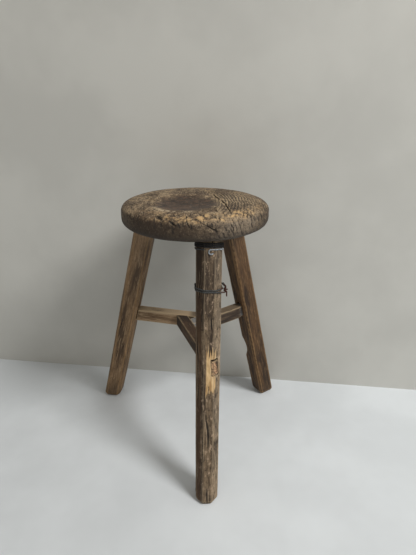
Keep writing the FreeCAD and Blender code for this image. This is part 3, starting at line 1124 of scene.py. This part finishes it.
# %% The front leg's eight sides, in millimetres
side_at_seat = 42.5
side_at_floor = 38.5
corner_cut = 12.4
leg_turn = math.radians(leg_turns["front"])
seat_underside = seat_low.z / MM
leg_upward = leg_slopes["front"].normalized()
level_right = Vector((math.cos(leg_turn), math.sin(leg_turn), 0))
leg_right = (level_right - leg_upward * level_right.dot(leg_upward)).normalized()
leg_back = leg_upward.cross(leg_right)


def on_leg(station):
    return leg_point("front", station * MM) / MM


def leg_width(station):
    share = station / seat_underside
    return side_at_floor + (side_at_seat - side_at_floor) * share


def turn_point(corner, station, grow):
    """One corner of a winding square to the leg, grow outside the leg's sides."""
    side = leg_width(station)
    flat = side / 2 + grow
    slant = side - corner_cut * side / side_at_seat + grow * math.sqrt(2)
    near = slant - flat
    x, y = [
        (flat, -near), (flat, near), (near, flat), (-near, flat),
        (-flat, near), (-flat, -near), (-near, -flat), (near, -flat),
    ][corner % 8]
    arm = Vector((
        x * math.cos(leg_turn) - y * math.sin(leg_turn),
        x * math.sin(leg_turn) + y * math.cos(leg_turn),
        0,
    ))
    return on_leg(station) + arm - leg_upward * arm.dot(leg_upward)


def ring_point(centre, second, radius, degrees):
    """A point on a circle that starts at the leg's right and turns towards second."""
    angle = math.radians(degrees)
    return centre + leg_right * radius * math.cos(angle) + second * radius * math.sin(angle)


# %% The three wires' paths
wire = 2.4
clearance = 0.15
binding_top = seat_underside - 1.9
binding_pitch = 2.7
binding_turns = 3


def upper_path():
    """Close turns right under the seat."""
    return [
        turn_point(1 + k, binding_top - binding_pitch * k / 8, wire / 2 + clearance)
        for k in range(8 * binding_turns + 1)
    ]


hook_wire = 2.2
hook_gap = 0.8
eye_radius = 3.7
eye_sideways = 1.6
eye_corners = 6
eye_start = 112.5


def hook_path():
    """One turn that ends in an open eye on the leg's front."""
    grow = hook_wire / 2 + clearance
    last_turn = binding_top - binding_pitch * binding_turns
    station = last_turn - wire / 2 - hook_gap - hook_wire / 2
    turn = [turn_point(6 - k, station, grow) for k in range(8)]
    face = leg_width(station) / 2 + grow
    eye = on_leg(station) - leg_back * face + leg_right * eye_sideways
    eye = eye - leg_upward * eye_radius
    corner = eye_radius / math.cos(math.radians(22.5))
    angles = [eye_start + 45 * k for k in range(eye_corners)]
    return turn + [ring_point(eye, leg_upward, corner, angle) for angle in angles]


lower_station = 371.5
first_lift = 9.0
last_lift = 3.0
lower_corners = 15
front_corner = 6.5
level_corner = 10.5
tie_turns = 1.75
tie_pitch = 2.8
tie_drop = 3.0
tie_top = 13.0
tie_tail = 9.0


def lower_path():
    """Two turns, together in front and spread behind, tied off at the right."""
    grow = wire / 2 + clearance
    wrap = wire + clearance
    corner = turn_point(0, lower_station, grow)
    post = corner + leg_right * (2 * wrap)
    turns = []
    for k in range(1, lower_corners + 1):
        behind = (1 - math.cos(math.radians(45 * (k - front_corner)))) / 2
        lift = first_lift + (last_lift - first_lift) * k / (lower_corners + 1)
        station = lower_station + lift * behind - binding_pitch * (k - level_corner) / 8
        turns.append(turn_point(k, station, grow))
    steps = round(6 * tie_turns)
    coil_radius = wrap / math.cos(math.radians(30))
    coil = []
    for k in range(steps + 1):
        level = post + leg_upward * (wire - tie_drop + tie_pitch * k / 6)
        coil.append(ring_point(level, leg_back, coil_radius, 60 - 60 * (k - steps)))
    tail = coil[0] - leg_upward * tie_tail
    foot = post - leg_upward * (tie_drop + clearance)
    knee = post + leg_upward * (tie_pitch * tie_turns + wire)
    top = corner + leg_right * clearance + leg_upward * tie_top
    return [tail, *coil, *turns, foot, knee, top], post


# %% The wire recipe
steps_round_bend = 5
sides_of_wire = 12


def wire_recipe():
    tree, given = new_recipe("bent_wire", ("Wire radius", "Bend radius"))
    path = step(tree, "GeometryNodeMeshToCurve", {"Mesh": given["Geometry"]})
    bent = step(tree, "GeometryNodeFilletCurve", {
        "Curve": path, "Count": steps_round_bend, "Radius": given["Bend radius"], "Limit Radius": True,
    }, mode="POLY")
    section = step(tree, "GeometryNodeCurvePrimitiveCircle", {
        "Resolution": sides_of_wire, "Radius": given["Wire radius"],
    })
    tube = step(tree, "GeometryNodeCurveToMesh", {
        "Curve": bent, "Profile Curve": section, "Fill Caps": True,
    })
    end_recipe(tree, tube, given["Material"])
    return tree


# %% [markdown]
# ## The wires' metal
#
# Old iron wire is nearly black with a dull skin and specks of rust. Galvanised wire
# keeps a soft silver grey. Where the lower wire was twisted off it has rusted through
# its skin, to a dark red brown.

# %% Wire materials
def iron_coat(name, base, skin, shine, shaded_left=None):
    """Metal with a patchy skin. Left of an offset along x in millimetres, when one is given, it is
    painted dark: painted shade on the wire's side turned from the window.
    """
    material, surface, place = new_coat(name, seat_top)
    specks = noise(place, (2.2, 2.2, 2.2), 91, detail=3.0, roughness=0.7)
    colour = blend(fade(specks, 0.42, 0.62), base, skin)
    if shaded_left is not None:
        # Painted shade on the wire's side turned from the window.
        wire_shade = fade(parts_of(place)[0], shaded_left, shaded_left - 4.0)
        colour = blend(wire_shade * 0.85, colour, tone(40, 38, 36))
    surface.inputs["Metallic"].default_value = shine
    finish_coat(surface, colour, specks * 0.3 + (1 - shine), specks * 0.15)
    return material


def rusted_coat(name, centre):
    """Dark wire that turns red-brown near a centre, given in millimetres."""
    material, surface, place = new_coat(name, centre * MM)
    flakes = noise(place, (2.0, 2.0, 2.0), 92, detail=4.0, roughness=0.7)
    away = place.vector("LENGTH", output=1) + flakes * 8
    iron = blend(fade(flakes, 0.4, 0.65), tone(50, 52, 54), tone(84, 84, 82))
    rust = blend(fade(flakes, 0.38, 0.62), tone(48, 26, 20), tone(88, 50, 38))
    colour = blend(fade(away, 18.0, 12.0), iron, rust)
    surface.inputs["Metallic"].default_value = 0.15
    finish_coat(surface, colour, flakes * 0.3 + 0.6, flakes * 0.3)
    return material


# %% Making the wires
bent_wire = wire_recipe()
bend_radius = 2.2


def make_wire(name, points, diameter, material):
    mesh = bpy.data.meshes.new("bent_" + name)
    edges = [(k, k + 1) for k in range(len(points) - 1)]
    mesh.from_pydata([point * MM for point in points], edges, [])
    piece = new_piece("bent_" + name, mesh)
    use_recipe(piece, bent_wire, {
        "Wire radius": diameter / 2 * MM, "Bend radius": bend_radius * MM,
        "Material": material,
    })
    freeze(piece)
    hand_over(piece, name)


lower_points, tie_post = lower_path()
dark_iron = iron_coat("dark iron wire", tone(24, 24, 26), tone(48, 46, 46), 0.3)
# The galvanised wire is painted dark on the leg's left, as painted shade.
galvanised = iron_coat(
    "galvanised wire", tone(120, 126, 132), tone(196, 202, 208), 0.5,
    shaded_left=(on_leg(seat_underside).x - seat_top.x / MM - 4.0),
)
make_wire("upper_wire_binding", upper_path(), wire, dark_iron)
make_wire("hook_wire", hook_path(), hook_wire, galvanised)
rusty = rusted_coat("rusty iron wire", tie_post)
make_wire("lower_wire_binding", lower_points, wire, rusty)

# %% [markdown]
# ## Floor, wall and light
#
# The stool stands on a pale painted floor against a pale wall. Daylight comes from
# one large window, to the right and a little in front, so shadows fall to the left
# and back with soft edges. Both are painted so that they show only their fronts: from
# behind the wall or under the floor they are clear, and the stool can be seen.

# %% Floor and wall
wall_left = Vector((-0.524, 0.290, 0))
wall_right = Vector((0.561, 0.127, 0))
wall_height = 1.8
room_reach = 1.6
floor_depth = 3.0


def plaster(name, colour):
    material, surface, place = new_coat(name, (0.0, 0.0, 0.0))
    tree = place.tree
    clouds = noise(place, (260, 260, 260), 95, detail=4.0, roughness=0.55)
    darker = tuple(value * 0.9 for value in colour[:3]) + (1.0,)
    feed(tree, blend(fade(clouds, 0.35, 0.65), darker, colour), surface.inputs["Base Color"])
    surface.inputs["Roughness"].default_value = 0.75
    clear = step(tree, "ShaderNodeBsdfTransparent", {})
    behind = step(tree, "ShaderNodeNewGeometry", {}, "Backfacing")
    painted = Field(tree, surface.outputs[0])
    mixed = step(tree, "ShaderNodeMixShader", [behind, painted, clear])
    feed(tree, mixed, tree.nodes["Material Output"].inputs["Surface"])
    return material


def flat_sheet(name, corners, material):
    mesh = bpy.data.meshes.new(name)
    mesh.from_pydata(corners, [], [tuple(range(len(corners)))])
    mesh.materials.append(material)
    sheet = new_piece(name, mesh)


wall_run = (wall_right - wall_left).normalized()
wall_from = wall_left - wall_run * room_reach
wall_to = wall_right + wall_run * room_reach
rise = Vector((0, 0, wall_height))
forward = Vector((0, -floor_depth, 0))
behind_wall = Vector((0, floor_depth, 0))
flat_sheet(
    "floor",
    [wall_from + forward, wall_to + forward, wall_to + behind_wall, wall_from + behind_wall],
    plaster("pale floor", tone(229, 235, 240)),
)
flat_sheet(
    "wall", [wall_from, wall_to, wall_to + rise, wall_from + rise],
    plaster("pale wall", tone(208, 208, 203)),
)

# %% Light
window_direction = Vector((0.78, -0.55, 1.0)).normalized()
window_distance = 3.2
window_size = 1.0
window_power = 65.0
window_colour = (1.0, 0.98, 0.95)
sky_strength = 0.33
sky_colour = (1.0, 0.945, 0.86, 1.0)

window = bpy.data.lights.new("window", "AREA")
window.shape = "DISK"
window.size = window_size
window.energy = window_power
window.color = window_colour
lamp = bpy.data.objects.new("window", window)
lamp.location = (cad_low + cad_high) / 2 + window_direction * window_distance
lamp.rotation_mode = "QUATERNION"
lamp.rotation_quaternion = window_direction.to_track_quat("Z", "Y")
bpy.context.scene.collection.objects.link(lamp)
world = bpy.data.worlds.new("soft room light")
bpy.context.scene.world = world
world.use_nodes = True
background = world.node_tree.nodes["Background"]
background.inputs["Color"].default_value = sky_colour
background.inputs["Strength"].default_value = sky_strength
bpy.context.scene.view_settings.view_transform = "Standard"
print("window", window_power, "W from", [round(v, 2) for v in window_direction])
